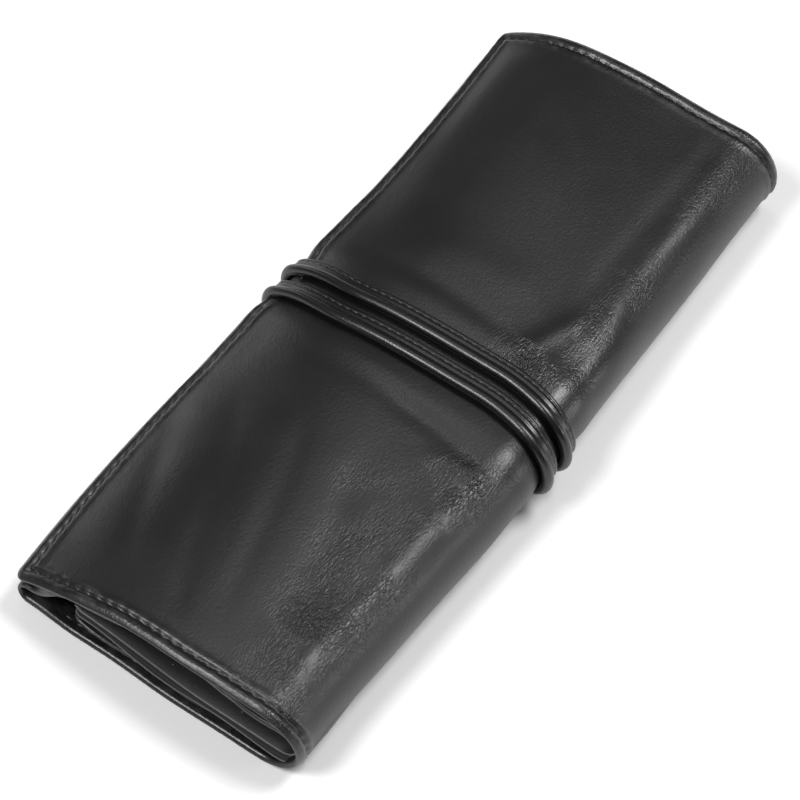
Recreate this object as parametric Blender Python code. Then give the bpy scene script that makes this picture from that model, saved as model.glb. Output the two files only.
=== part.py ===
"""Roll-up pencil case of imitation leather, rolled flat and tied with a piped strap.

Frame: Y runs along the roll, the flap's free edge is at -X, the right fold at +X, +Z is up and
the base rests on Z = 0. Dimensions are in millimetres and are turned into metres by MM.

The case is one sheet rolled into a flat spiral. Followed from its free edge, the outer skin is
lip, flap, right fold, base, left fold, second leaf, inner fold and third leaf. Each layer
(cover, lining, pockets) is a ribbon of even thickness below that skin.
"""
import bmesh
import bpy
from math import cos, hypot, pi, radians, sin
from mathutils import Vector

MM = 0.001

# the rolled case
LENGTH = 210.0
WIDTH = 88.0
HEIGHT = 25.0
FREE_EDGE_HEIGHT = 9.8
FREE_EDGE_SWAY = 2.4
FLAP_CREST_X = 10.0
FLAP_CURVE_NEAR = 2.1
FLAP_CURVE_FAR = 3.6
LEFT_FOLD_X = -40.5
LEFT_FOLD_RADIUS = 2.75
BASE_LIFT = 1.8
BASE_LIFT_X = -26.0
INNER_FOLD_X = 32.0
INNER_FOLD_TOP = 18.2
THIRD_LEAF_END_X = -28.0
FLAP_TO_SECOND_LEAF = 2.5
SECOND_LEAF_RISE = 16.0
SECOND_LEAF_DROP_X = 5.0

# shares of a run of skin: where the level part of flap and base ends, and where the leaves begin
FLAP_LEVEL_SHARE = 0.75
BASE_TURN_SHARE = 0.25
INNER_FOLD_SHARE = 0.45
THIRD_LEAF_SHARE = 0.65
LEFT_FOLD_SHARE = 0.3
SECOND_LEAF_SHARE = 0.4

# layers, from the skin inwards
GAP = 0.3
COVER_THICK = 1.0
LINING_THICK = 0.6
PANEL_THICK = 0.6
LINING_DEPTH = COVER_THICK + GAP
PANEL_DEPTH = LINING_DEPTH + LINING_THICK + GAP

# the waist, where the strap draws the case in
WAIST_Y = 6.0
WAIST_FLAT = 15.0
WAIST_FADE = 23.0
WAIST_DEPTH = 4.0

# the folds between the bodies that move
SPINE_HALF_ANGLE = 55.0
SPINE_GAP_ANGLE = 1.0
LEFT_FOLD_GAP_ANGLE = 4.0
LIP_HINGE_X = -17.0

# threads, pockets and tip guard
THREAD_WIDE = 0.5
THREAD_THICK = 0.3
THREAD_PROFILE = [(side * THREAD_WIDE / 2, up) for side, up in
                  ((-1, 0), (1, 0), (1, THREAD_THICK), (-1, THREAD_THICK))]
HEM_INSET = 3.2
HEM_CORNER = 2.5
SEAM_COUNT = 8
PANEL_INSET = 8.0
PANEL_MOUTH_Y = 12.0
GUARD_MOUTH_Y = 28.0

# the strap
STRAP_ROLL_RADIUS = 1.5
STRAP_ROLL_Y = -1.4
STRAP_FLANGE_Y = 3.0
STRAP_FLANGE_LOW = -1.3
STRAP_FLANGE_TOP = -0.2
STRAP_THREAD_Y = 1.7
STRAP_OFFSET = 0.9 + STRAP_ROLL_RADIUS
STRAP_PITCH = 8.5
STRAP_FIRST_Y = 17.0
STRAP_TAIL_X = 8.0
LEFT_BEND_X = -41.5
LEFT_BEND_HALF_WIDTH = 5.4
STRAP_LINK_GAP = 1.0


def ease(t):
    """A smooth step from 0 to 1."""
    t = min(max(t, 0.0), 1.0)
    return t * t * (3 - 2 * t)


def mix(a, b, t):
    return a + (b - a) * t


def waist(y):
    """How far the strap draws the case in at y, from 0 to 1."""
    return 1 - ease((abs(y - WAIST_Y) - WAIST_FLAT) / WAIST_FADE)


def flap_height(x, y):
    """The top of the flap: level near the right fold, then curving down to its free edge."""
    power = mix(FLAP_CURVE_NEAR, FLAP_CURVE_FAR, y / LENGTH + 0.5)
    low = FREE_EDGE_HEIGHT + 0.4 * WAIST_DEPTH * waist(y)
    t = max((FLAP_CREST_X - x) / (FLAP_CREST_X + WIDTH / 2), 0.0)
    return HEIGHT - (HEIGHT - low) * t**power


def free_edge_x(y):
    return -WIDTH / 2 + FREE_EDGE_SWAY * sin(2 * pi * y / LENGTH)


def right_fold(y):
    """Centre x, centre z and radius of the right fold."""
    radius = (HEIGHT - WAIST_DEPTH * waist(y)) / 2
    return WIDTH / 2 - radius, HEIGHT - radius, radius


def left_fold(y):
    radius = LEFT_FOLD_RADIUS - 0.5 * waist(y)
    low = BASE_LIFT + (WAIST_DEPTH - BASE_LIFT) * waist(y)
    return LEFT_FOLD_X, low + radius, radius


def inner_fold(y):
    low = third_leaf_height(y)
    radius = (INNER_FOLD_TOP - low) / 2
    return INNER_FOLD_X, low + radius, radius


def third_leaf_height(y):
    return PANEL_DEPTH + 0.2 + WAIST_DEPTH * waist(y)


def base_height(x, y):
    """The underside: flat where the case rests, lifted at the left fold and at the waist."""
    fold_x, fold_z, radius = left_fold(y)
    t = (BASE_LIFT_X - x) / (BASE_LIFT_X - fold_x)
    return mix(WAIST_DEPTH * waist(y), fold_z - radius, ease(t))


def second_leaf_height(x, y):
    """Just under the flap, rising from the left fold and sinking towards the inner fold."""
    fold_x, fold_z, radius = left_fold(y)
    high = flap_height(x, y) - FLAP_TO_SECOND_LEAF
    drop = HEIGHT - FLAP_TO_SECOND_LEAF - INNER_FOLD_TOP
    high -= drop * ease((x - SECOND_LEAF_DROP_X) / (INNER_FOLD_X - SECOND_LEAF_DROP_X))
    return mix(fold_z + radius, high, ease((x - fold_x) / SECOND_LEAF_RISE))


def on_arc(fold, angle):
    x, z, radius = fold
    return x + radius * cos(radians(angle)), z + radius * sin(radians(angle))


def lip_skin(u, y):
    x = mix(free_edge_x(y), LIP_HINGE_X - GAP / 2, u)
    return x, flap_height(x, y)


def flap_skin(u, y):
    """The flap's level part, then the first degrees of the right fold."""
    fold = right_fold(y)
    if u < FLAP_LEVEL_SHARE:
        x = mix(LIP_HINGE_X + GAP / 2, fold[0], u / FLAP_LEVEL_SHARE)
        return x, flap_height(x, y)
    t = (u - FLAP_LEVEL_SHARE) / (1 - FLAP_LEVEL_SHARE)
    return on_arc(fold, mix(90, SPINE_HALF_ANGLE + SPINE_GAP_ANGLE, t))


def spine_skin(u, y):
    end = SPINE_HALF_ANGLE - SPINE_GAP_ANGLE
    return on_arc(right_fold(y), mix(end, -end, u))


def base_skin(u, y):
    """The last degrees of the right fold, then the underside."""
    fold = right_fold(y)
    if u < BASE_TURN_SHARE:
        return on_arc(fold, mix(-SPINE_HALF_ANGLE - SPINE_GAP_ANGLE, -90, u / BASE_TURN_SHARE))
    t = (u - BASE_TURN_SHARE) / (1 - BASE_TURN_SHARE)
    x = mix(fold[0], LEFT_FOLD_X + GAP / 2, t)
    return x, base_height(x, y)


def left_fold_skin(u, y):
    return on_arc(left_fold(y), mix(-90 - LEFT_FOLD_GAP_ANGLE, -270 + LEFT_FOLD_GAP_ANGLE, u))


def second_leaf_skin(u, y):
    x = mix(LEFT_FOLD_X + GAP / 2, INNER_FOLD_X - GAP / 2, u)
    return x, second_leaf_height(x, y)


def inner_fold_skin(u, y):
    end = 90 - SPINE_GAP_ANGLE
    return on_arc(inner_fold(y), mix(end, -end, u))


def third_leaf_skin(u, y):
    return mix(INNER_FOLD_X - GAP / 2, THIRD_LEAF_END_X, u), third_leaf_height(y)


def core_skin(u, y):
    """Second leaf, inner fold and third leaf in one run, for the layers that cross all three."""
    if u < INNER_FOLD_SHARE:
        return second_leaf_skin(u / INNER_FOLD_SHARE, y)
    if u < THIRD_LEAF_SHARE:
        return inner_fold_skin((u - INNER_FOLD_SHARE) / (THIRD_LEAF_SHARE - INNER_FOLD_SHARE), y)
    return third_leaf_skin((u - THIRD_LEAF_SHARE) / (1 - THIRD_LEAF_SHARE), y)


def case_skin(u, y):
    """Base to third leaf in one run, as the lining follows it."""
    if u < LEFT_FOLD_SHARE:
        return base_skin(u / LEFT_FOLD_SHARE, y)
    if u < SECOND_LEAF_SHARE:
        return left_fold_skin((u - LEFT_FOLD_SHARE) / (SECOND_LEAF_SHARE - LEFT_FOLD_SHARE), y)
    return core_skin((u - SECOND_LEAF_SHARE) / (1 - SECOND_LEAF_SHARE), y)


def below_skin(skin, u, y, depth):
    """A point at the given depth under the skin. A negative depth lies above it."""
    step = 0.002
    ax, az = skin(max(u - step, 0), y)
    bx, bz = skin(min(u + step, 1), y)
    run = hypot(bx - ax, bz - az)
    nx, nz = (az - bz) / run, (bx - ax) / run
    x, z = skin(u, y)
    return Vector((x - nx * depth, y, z - nz * depth))


def steps(count, start=0.0, end=1.0):
    return [mix(start, end, i / (count - 1)) for i in range(count)]


def stations(start=-LENGTH / 2, end=LENGTH / 2):
    """Rows along Y: close together at the waist and further apart towards the ends."""
    half = WAIST_FLAT + WAIST_FADE / 2
    full = WAIST_FLAT + WAIST_FADE
    rows = [WAIST_Y + side * reach for side in (-1, 1) for reach in (WAIST_FLAT, half, full)]
    rows += [WAIST_Y, mix(start, -full, 0.35), mix(start, -full, 0.7), mix(end, full, 0.5)]
    return sorted({start, end, *[y for y in rows if start + 4 < y < end - 4]})


def material(name, colour, roughness):
    slot = bpy.data.materials.new(name)
    slot.use_nodes = True
    shader = slot.node_tree.nodes["Principled BSDF"]
    shader.inputs["Base Color"].default_value = (*colour, 1)
    shader.inputs["Roughness"].default_value = roughness
    return slot


def solid(name, verts, faces, slot, origin=(0, 0, 0)):
    """One closed body, its faces pointing out and its origin at the given point (mm)."""
    origin = Vector(origin)
    mesh = bpy.data.meshes.new(name)
    mesh.from_pydata([(Vector(v) - origin) * MM for v in verts], [], faces)
    work = bmesh.new()
    work.from_mesh(mesh)
    bmesh.ops.recalc_face_normals(work, faces=work.faces)
    if work.calc_volume(signed=True) < 0:
        bmesh.ops.reverse_faces(work, faces=work.faces)
    work.to_mesh(mesh)
    work.free()
    mesh.shade_smooth()
    mesh.set_sharp_from_angle(angle=radians(40))
    mesh.materials.append(slot)
    piece = bpy.data.objects.new(name, mesh)
    piece.location = origin * MM
    bpy.context.collection.objects.link(piece)
    return piece


def ribbon(name, skin, across, rows, depth, thick, slot, origin=(0, 0, 0)):
    """A sheet of even thickness that follows the skin, as one closed solid."""
    wide = len(across)
    verts = [below_skin(skin, u, y, d) for d in (depth, depth + thick) for y in rows for u in across]
    half = wide * len(rows)
    faces = []
    for j in range(len(rows) - 1):
        for i in range(wide - 1):
            a = j * wide + i
            for tri in ((a, a + 1, a + 1 + wide), (a, a + 1 + wide, a + wide)):
                faces += [tri, tuple(v + half for v in reversed(tri))]
    rim = list(range(wide))
    rim += [j * wide + wide - 1 for j in range(1, len(rows))]
    rim += [half - 1 - i for i in range(1, wide)]
    rim += [j * wide for j in range(len(rows) - 2, 0, -1)]
    for a, b in zip(rim, rim[1:] + rim[:1]):
        faces.append((a, b, b + half, a + half))
    return solid(name, verts, faces, slot, origin)


def sweep(name, centres, sides, ups, profile, slot, origin=(0, 0, 0)):
    """A closed bar: the profile's (side, up) points carried along the centres."""
    verts = [
        c + s * across + n * up
        for c, s, n in zip(centres, sides, ups)
        for across, up in profile
    ]
    count = len(profile)
    faces = [tuple(range(count)), tuple(len(verts) - 1 - i for i in range(count))]
    for j in range(len(centres) - 1):
        for i in range(count):
            a, b = j * count + i, j * count + (i + 1) % count
            faces.append((a, b, b + count, a + count))
    return solid(name, verts, faces, slot, origin)


def thread(name, points, normals, slot, origin=(0, 0, 0)):
    """A run of stitching: a thin flat bar laid along points that already stand clear of the sheet."""
    sides = []
    for i, up in enumerate(normals):
        before, after = points[max(i - 1, 0)], points[min(i + 1, len(points) - 1)]
        sides.append((after - before).cross(up).normalized())
    return sweep(name, points, sides, normals, THREAD_PROFILE, slot, origin)


def skin_run(skin, route, lift=GAP):
    """Points and normals along a route of (u, y) on the skin, lifted clear of it."""
    points = [below_skin(skin, u, y, -lift) for u, y in route]
    normals = [(below_skin(skin, u, y, -lift - 1) - p) for (u, y), p in zip(route, points)]
    return points, normals


def hem_threads(leather_thread):
    """The top-stitching, HEM_INSET inside the edge, along both ends and the flap's free edge."""
    far = LENGTH / 2 - HEM_INSET
    for name, skin, count in (("flap", flap_skin, 9), ("spine", spine_skin, 7)):
        for end, y in (("near", -far), ("far", far)):
            thread(f"{name}_hem_thread_{end}", *skin_run(skin, [(u, y) for u in steps(count)]),
                   leather_thread)
    inset = HEM_INSET / (LIP_HINGE_X + WIDTH / 2)
    corner = HEM_CORNER / (LIP_HINGE_X + WIDTH / 2)
    rows = [y for y in stations() if abs(y) < far - HEM_CORNER]
    route = [(u, -far) for u in (0.98, 0.6, 0.3, inset + corner)]
    route += [(inset + corner * 0.3, -far + HEM_CORNER * 0.3)]
    route += [(inset, y) for y in [HEM_CORNER - far, *rows, far - HEM_CORNER]]
    route += [(inset + corner * 0.3, far - HEM_CORNER * 0.3)]
    route += [(u, far) for u in (inset + corner, 0.3, 0.6, 0.98)]
    thread("lip_hem_thread", *skin_run(lip_skin, route), leather_thread)


def pocket_seams(leather_thread, panel_near, panel_far):
    """One run of thread between every two pockets, on the panel's inner face."""
    depth = PANEL_DEPTH + PANEL_THICK + GAP
    between = [y for y in stations() if panel_near + 8 < y < panel_far - 8]
    rows = [panel_near + 3, *between, panel_far - 3]
    for k, u in enumerate(steps(SEAM_COUNT, 0.06, 0.96)):
        points = [below_skin(core_skin, u, y, depth) for y in rows]
        ups = [below_skin(core_skin, u, y, depth + 1) - p for y, p in zip(rows, points)]
        thread(f"pocket_seam_{k + 1}", points, ups, leather_thread)


def right_bend(y):
    """The strap's bend round the right fold: centre x, centre z and radius."""
    x, z, radius = right_fold(y)
    return x, z, radius + STRAP_OFFSET


def strap_low(y):
    """Height of the strap's centre line where it passes under the base."""
    return right_bend(y)[1] - right_bend(y)[2]


def strap_lines(turn):
    """The strap's centre line in one turn, cut where its links hinge: (name, points) pairs."""
    y = STRAP_FIRST_Y - STRAP_PITCH * (turn + 1)
    bend = right_bend(y)
    low = strap_low(y)
    over_flap = [below_skin(flap_skin, u, y, -STRAP_OFFSET) for u in (0.74, 0.5, 0.25, 0.0)]
    over_lip = [below_skin(lip_skin, u, y, -STRAP_OFFSET) for u in (0.75, 0.5, 0.25, 0.12)]
    right = [Vector((px, y, pz)) for px, pz in (on_arc(bend, a) for a in steps(10, -90, 90))]
    left = left_bend(y)
    under = Vector((LEFT_BEND_X, y + STRAP_PITCH, low))
    return {
        "bottom": [under, *right[:2]],
        "right": right[1:9],
        "crest": [*right[8:], *over_flap],
        "slope": [over_flap[-1], *over_lip, *left[:6]],
        "left": left[5:],
    }


def left_bend(y):
    """Points round the flap's free edge, from the top of the bend to its bottom."""
    low = strap_low(y)
    high = below_skin(lip_skin, 0.06, y, -STRAP_OFFSET).z + 0.6
    mid, half = (high + low) / 2, (high - low) / 2
    return [
        Vector((LEFT_BEND_X + LEFT_BEND_HALF_WIDTH * cos(radians(a)), y, mid + half * sin(radians(a))))
        for a in steps(11, 115, 270)
    ]


def trimmed(points, gap):
    """The same line with a little taken off both ends, so that links stay apart."""
    first = points[0] + (points[1] - points[0]).normalized() * gap / 2
    last = points[-1] + (points[-2] - points[-1]).normalized() * gap / 2
    return [first, *points[1:-1], last]


def strap_frames(points):
    """Side and outward directions along a strap line. The strap's flange lies towards +Y."""
    sides, ups = [], []
    for i in range(len(points)):
        along = points[min(i + 1, len(points) - 1)] - points[max(i - 1, 0)]
        up = along.cross(Vector((0, 1, 0))).normalized() * -1
        ups.append(up)
        sides.append(up.cross(along).normalized() * (1 if up.cross(along).y > 0 else -1))
    return sides, ups


def strap_profile():
    """A round roll on the near side with a flat flange on the far side, as (side, up) points."""
    roll = [
        (STRAP_ROLL_Y + STRAP_ROLL_RADIUS * cos(radians(a)), STRAP_ROLL_RADIUS * sin(radians(a)))
        for a in steps(9, 10, 300)
    ]
    return roll + [(STRAP_FLANGE_Y, STRAP_FLANGE_LOW), (STRAP_FLANGE_Y, STRAP_FLANGE_TOP)]


def strap_link(name, points, leather, leather_thread):
    """One link of the strap with its run of thread."""
    line = trimmed(points, STRAP_LINK_GAP)
    sides, ups = strap_frames(line)
    sweep(f"strap_{name}", line, sides, ups, strap_profile(), leather, line[0])
    lift = STRAP_FLANGE_TOP + GAP
    stitched = [c + s * STRAP_THREAD_Y + n * lift for c, s, n in zip(line, sides, ups)]
    sweep(f"strap_thread_{name}", stitched, sides, ups, THREAD_PROFILE, leather_thread, line[0])


def strap(leather, leather_thread):
    """The strap: sewn under the flap's free edge, wound twice round the case, its tail tucked under."""
    first, second = strap_lines(0), strap_lines(1)
    start = left_bend(STRAP_FIRST_Y)
    strap_link("start", start[4:7], leather, leather_thread)
    strap_link("bottom_1", [*start[6:10], *first["bottom"]], leather, leather_thread)
    strap_link("right_1", first["right"], leather, leather_thread)
    strap_link("crest_1", first["crest"], leather, leather_thread)
    strap_link("slope_1", first["slope"], leather, leather_thread)
    strap_link("bottom_2", [*first["left"][:-1], *second["bottom"]], leather, leather_thread)
    strap_link("right_2", second["right"], leather, leather_thread)
    strap_link("crest_2", second["crest"], leather, leather_thread)
    strap_link("slope_2", second["slope"], leather, leather_thread)
    end = second["left"][-1]
    t = (STRAP_TAIL_X - LEFT_BEND_X) / (right_bend(0)[0] - LEFT_BEND_X)
    tail = Vector((STRAP_TAIL_X, end.y - STRAP_PITCH * t, end.z))
    strap_link("tail", [*second["left"], tail], leather, leather_thread)


def build():
    for thing in list(bpy.data.objects):
        bpy.data.objects.remove(thing, do_unlink=True)

    leather = material("leather_black", (0.012, 0.012, 0.013), 0.38)
    lining = material("lining_black", (0.02, 0.02, 0.021), 0.8)
    panel = material("panel_black", (0.016, 0.016, 0.017), 0.55)
    leather_thread = material("thread_black", (0.008, 0.008, 0.009), 0.6)

    rows = stations()
    for name, skin, count in (
        ("cover_lip", lip_skin, 5),
        ("cover_flap", flap_skin, 9),
        ("cover_spine", spine_skin, 8),
        ("cover_base", base_skin, 9),
        ("cover_left_fold", left_fold_skin, 7),
        ("cover_second_leaf", second_leaf_skin, 11),
        ("cover_inner_fold", inner_fold_skin, 9),
        ("cover_third_leaf", third_leaf_skin, 4),
    ):
        ribbon(name, skin, steps(count), rows, 0, COVER_THICK, leather)
    lined = [rows[0] + 1.0, *rows[1:-1], rows[-1] - 1.0]
    ribbon("lining_lip", lip_skin, steps(5, 0.04, 0.99), lined, LINING_DEPTH, LINING_THICK, lining)
    ribbon("lining_flap", flap_skin, steps(9, 0.01, 1), lined, LINING_DEPTH, LINING_THICK, lining)
    ribbon("lining_spine", spine_skin, steps(8), lined, LINING_DEPTH, LINING_THICK, lining)
    core = steps(11, 0, INNER_FOLD_SHARE) + steps(9, INNER_FOLD_SHARE, THIRD_LEAF_SHARE)[1:]
    core += steps(4, THIRD_LEAF_SHARE, 0.99)[1:]
    case = steps(9, 0, LEFT_FOLD_SHARE) + steps(7, LEFT_FOLD_SHARE, SECOND_LEAF_SHARE)[1:]
    case += [mix(SECOND_LEAF_SHARE, 1, u) for u in core[1:]]
    ribbon("lining_case", case_skin, case, lined, LINING_DEPTH, LINING_THICK, lining)

    near, far = -LENGTH / 2 + PANEL_INSET, LENGTH / 2 - PANEL_INSET
    panel_core = [u for u in core if 0.04 < u < 0.98]
    ribbon("pocket_panel", core_skin, panel_core, stations(near, PANEL_MOUTH_Y), PANEL_DEPTH,
           PANEL_THICK, panel)
    ribbon("tip_guard", core_skin, panel_core, stations(GUARD_MOUTH_Y, far), PANEL_DEPTH,
           PANEL_THICK, panel)
    pocket_seams(leather_thread, near, PANEL_MOUTH_Y)
    hem_threads(leather_thread)
    strap(leather, leather_thread)


build()
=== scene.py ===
"""Looks of the roll-up pencil case: black imitation leather, rolled flat and tied with a piped strap.

Lengths are in millimetres until a mesh is made. The case is one sheet rolled into a flat spiral, so
most pieces are sampled from one line, the outer skin's section at a station y. It runs from the
flap's free edge over the top, round the right fold, under the base, round the left fold, and on
through the second leaf, the inner fold and the third leaf.
"""
from functools import lru_cache
from math import cos, pi, radians, sin

import bmesh
import bpy
import numpy as np
from mathutils import Matrix, Vector


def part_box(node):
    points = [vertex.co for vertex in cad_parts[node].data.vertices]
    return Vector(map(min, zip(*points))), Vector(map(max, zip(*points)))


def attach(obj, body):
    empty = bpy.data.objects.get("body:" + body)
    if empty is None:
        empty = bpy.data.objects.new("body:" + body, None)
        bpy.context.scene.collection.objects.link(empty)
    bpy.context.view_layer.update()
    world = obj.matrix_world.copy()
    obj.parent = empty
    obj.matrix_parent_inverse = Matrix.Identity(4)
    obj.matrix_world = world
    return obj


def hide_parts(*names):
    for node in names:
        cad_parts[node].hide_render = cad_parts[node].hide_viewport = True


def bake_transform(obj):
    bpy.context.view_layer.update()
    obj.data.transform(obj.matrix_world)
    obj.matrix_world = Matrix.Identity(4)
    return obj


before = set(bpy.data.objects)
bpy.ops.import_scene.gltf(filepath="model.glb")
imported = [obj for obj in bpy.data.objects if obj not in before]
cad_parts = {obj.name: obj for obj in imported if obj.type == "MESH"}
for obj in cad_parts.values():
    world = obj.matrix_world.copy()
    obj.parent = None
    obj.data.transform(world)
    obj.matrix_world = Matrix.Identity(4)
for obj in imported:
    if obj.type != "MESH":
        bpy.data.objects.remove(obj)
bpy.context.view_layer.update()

MM = 0.001
# spacing of the points on the cover's mesh
GRID = 0.82


def box_mm(node):
    """A node's lowest and highest corners in millimetres."""
    return [np.array(corner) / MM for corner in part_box(node)]


# the case's size, read from the frame
LENGTH = box_mm("cover_base")[1][1] - box_mm("cover_base")[0][1]
WIDTH = 2 * box_mm("cover_spine")[1][0]
HEIGHT = box_mm("cover_flap")[1][2]
HALF = LENGTH / 2

# the section's shape, as the CAD has it
FREE_EDGE_HEIGHT = 9.8
FREE_EDGE_WAIST_SHARE = 0.4
FREE_EDGE_SWAY = 2.4
FLAP_CREST_X = 10.0
FLAP_CURVE_NEAR = 2.1
FLAP_CURVE_FAR = 3.6
LEFT_FOLD_X = -40.5
LEFT_FOLD_RADIUS = 2.75
LEFT_FOLD_WAIST_PRESS = 0.5
BASE_LIFT = 1.8
BASE_LIFT_X = -26.0
INNER_FOLD_X = 32.0
INNER_FOLD_TOP = 18.2
THIRD_LEAF_END_X = -28.0
THIRD_LEAF_HEIGHT = 2.4
FLAP_TO_SECOND_LEAF = 2.3
SECOND_LEAF_CLIMB = 16.0
SECOND_LEAF_DROP_X = 5.0
WAIST_Y = 6.0
WAIST_FLAT = 15.0
WAIST_FADE = 23.0
WAIST_DEPTH = 4.0

# the sheet's layers and hem
COVER_THICK = 1.0
HEM_THICK = 1.9
HEM_TURN = 7.5
CORE_HEM_THICK = 1.1
CORE_EDGE_ROUND = 0.45
EDGE_ROUND = 1.1
EDGE_MIDDLE = -0.8
CORNER_RADIUS = 2.8
STITCH_INSET = 3.2
STITCH_PITCH = 3.3
STITCH_LINE_STEP = 0.6
STITCH_CORNER = 0.6 * CORNER_RADIUS
STITCH_DEPTH = 0.55
LINING_DEPTH = 1.2
LINING_THICK = 0.5
PANEL_DEPTH = 2.2
PANEL_THICK = 0.6
END_MARGIN = 0.3
LINING_INSET = 6.5
CORE_LINING_INSET = 1.8
PANEL_INSET = 3.2
PANEL_MOUTH_Y = 12.0
GUARD_MOUTH_Y = 28.0
LAYER_GRID = 2.0
LAYER_ROWS = 2.5
CUT_EDGE = 0.3
SEAM_COUNT = 8
SEAM_SHARES = (0.06, 0.96)
SEAM_END_GAP = 2.0

# how the near and the far end differ from the middle: narrower at the right fold, the free edge lifted,
# the left fold fuller, the second leaf climbing sooner and the third leaf rising towards its end
TAPER = (3.6, 1.3)
EDGE_LIFT = (2.8, 1.0)
LEFT_FOLD_SWELL = (0.7, 0.0)
SECOND_LEAF_SOONER = (6.0, 3.0)
THIRD_LEAF_RISE = (5.0, 2.0)
THIRD_LEAF_RISE_X = 12.0
THIRD_LEAF_RISE_SPAN = 40.0

# the relief of the outer face: (centre, width) of the hem's two ridges by their way to the edge, the
# seat that the strap presses, and how deep the face lies so that its relief keeps inside the CAD's box
HEM_ROLL = (1.65, 0.95)
HEM_SWELL = (4.5, 0.75)
SEAT_DEPTH = 0.35
SEAT_WIDTH = 3.6
SEAT_SWELL_AWAY = 8.5
SEAT_SWELL_WIDTH = 4.0
FACE_DEPTH = 0.25
# ways from a hem's edge where its relief needs a point, beyond its round edge
HEM_STATIONS = [1.35, 1.6, 1.9, 2.2, 2.5, 2.75, 2.95, 3.1, 3.25, 3.4, 3.6, 3.85, 4.2, 4.7, 5.4, 6.3, 7.5]

# where the cover's pieces meet, and the stretches over which they pass from one body to the next
LIP_SPLIT_X = 4.0
BASE_SPLIT_X = -32.0
FOLD_REACH = 10.5
LIP_BEND = (-10.0, -25.0)
LIP_BEND_HEIGHT = 20.0

# the strap: its turns round the case, and its round edge and flat flange
STRAP_PITCH = 8.2
STRAP_Y = 5.0
STRAP_MIDDLE_Y = 1.0
STRAP_SIDE_DRIFT = 1.8
STRAP_START_Y = 11.5
STRAP_START_FLAT = 0.45
STRAP_TAIL_X = 8.0
STRAP_TAIL_DRIFT = 3.6
STRAP_OFFSET = 1.4
STRAP_SLACK = 0.2
STRAP_DENT = 2.2
STRAP_DENT_Y = 4.0
STRAP_DENT_WIDTH = 9.0
STRAP_ROLL_RADIUS = 1.5
STRAP_ROLL_SIDE = -1.6
STRAP_STITCH_SIDE = 1.75
STRAP_FLANGE_SIDE = 2.8
STRAP_STITCH_PITCH = 2.6
STRAP_CREST_CUT_X = 7.0
STRAP_SLOPE_CUT_X = -29.0
LEFT_BEND_X = -40.4
LEFT_BEND_HALF_WIDTH = 3.5
LEFT_BEND_POINTS = 26

# how the strap strays along the case as it crosses the top: how far, from which x, over how long a way
STRAP_SHIFTS = ((2.6, -18.0, -22.0), (-4.2, 22.0, 28.0))


def ease(t):
    t = np.clip(t, 0.0, 1.0)
    return t * t * (3 - 2 * t)


def mix(a, b, t):
    return a + (b - a) * t


def bump(t, centre, width):
    """A smooth hill of height 1 at centre."""
    return np.exp(-(((t - centre) / width) ** 2))


# ---------------------------------------------------------------- the section


def waist(y):
    """How much of the strap's squeeze reaches y, from 0 to 1."""
    return 1 - ease((abs(y - WAIST_Y) - WAIST_FLAT) / WAIST_FADE)


def near_far(y, change):
    """A change that grows from nothing at mid-length to its (near, far) amounts at the ends."""
    return change[0] * ease(-y / HALF) + change[1] * ease(y / HALF)


def flap_height(x, y):
    power = mix(FLAP_CURVE_NEAR, FLAP_CURVE_FAR, y / LENGTH + 0.5)
    low = FREE_EDGE_HEIGHT + FREE_EDGE_WAIST_SHARE * WAIST_DEPTH * waist(y) + near_far(y, EDGE_LIFT)
    t = np.maximum((FLAP_CREST_X - x) / (FLAP_CREST_X + WIDTH / 2), 0.0)
    return HEIGHT - (HEIGHT - low) * t**power


def right_fold(y):
    """Centre (x, z) and radius, as left_fold and inner_fold give too."""
    radius = (HEIGHT - WAIST_DEPTH * waist(y)) / 2
    return WIDTH / 2 - near_far(y, TAPER) - radius, HEIGHT - radius, radius


def free_edge_x(y):
    """The flap's free edge: a slow sway, drawn in where the strap crosses it."""
    dent = STRAP_DENT * bump(y, STRAP_DENT_Y, STRAP_DENT_WIDTH)
    return -WIDTH / 2 + FREE_EDGE_SWAY * sin(2 * pi * y / LENGTH) + dent


def left_fold(y):
    radius = LEFT_FOLD_RADIUS - LEFT_FOLD_WAIST_PRESS * waist(y) + near_far(y, LEFT_FOLD_SWELL)
    return LEFT_FOLD_X, BASE_LIFT + (WAIST_DEPTH - BASE_LIFT) * waist(y) + radius, radius


def inner_fold(y):
    low = THIRD_LEAF_HEIGHT + WAIST_DEPTH * waist(y)
    radius = (INNER_FOLD_TOP - low) / 2
    return INNER_FOLD_X, low + radius, radius


def arc(fold, start, end, count):
    x, z, radius = fold
    angle = np.radians(np.linspace(start, end, count))
    return np.stack([x + radius * np.cos(angle), z + radius * np.sin(angle)], -1)


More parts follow.
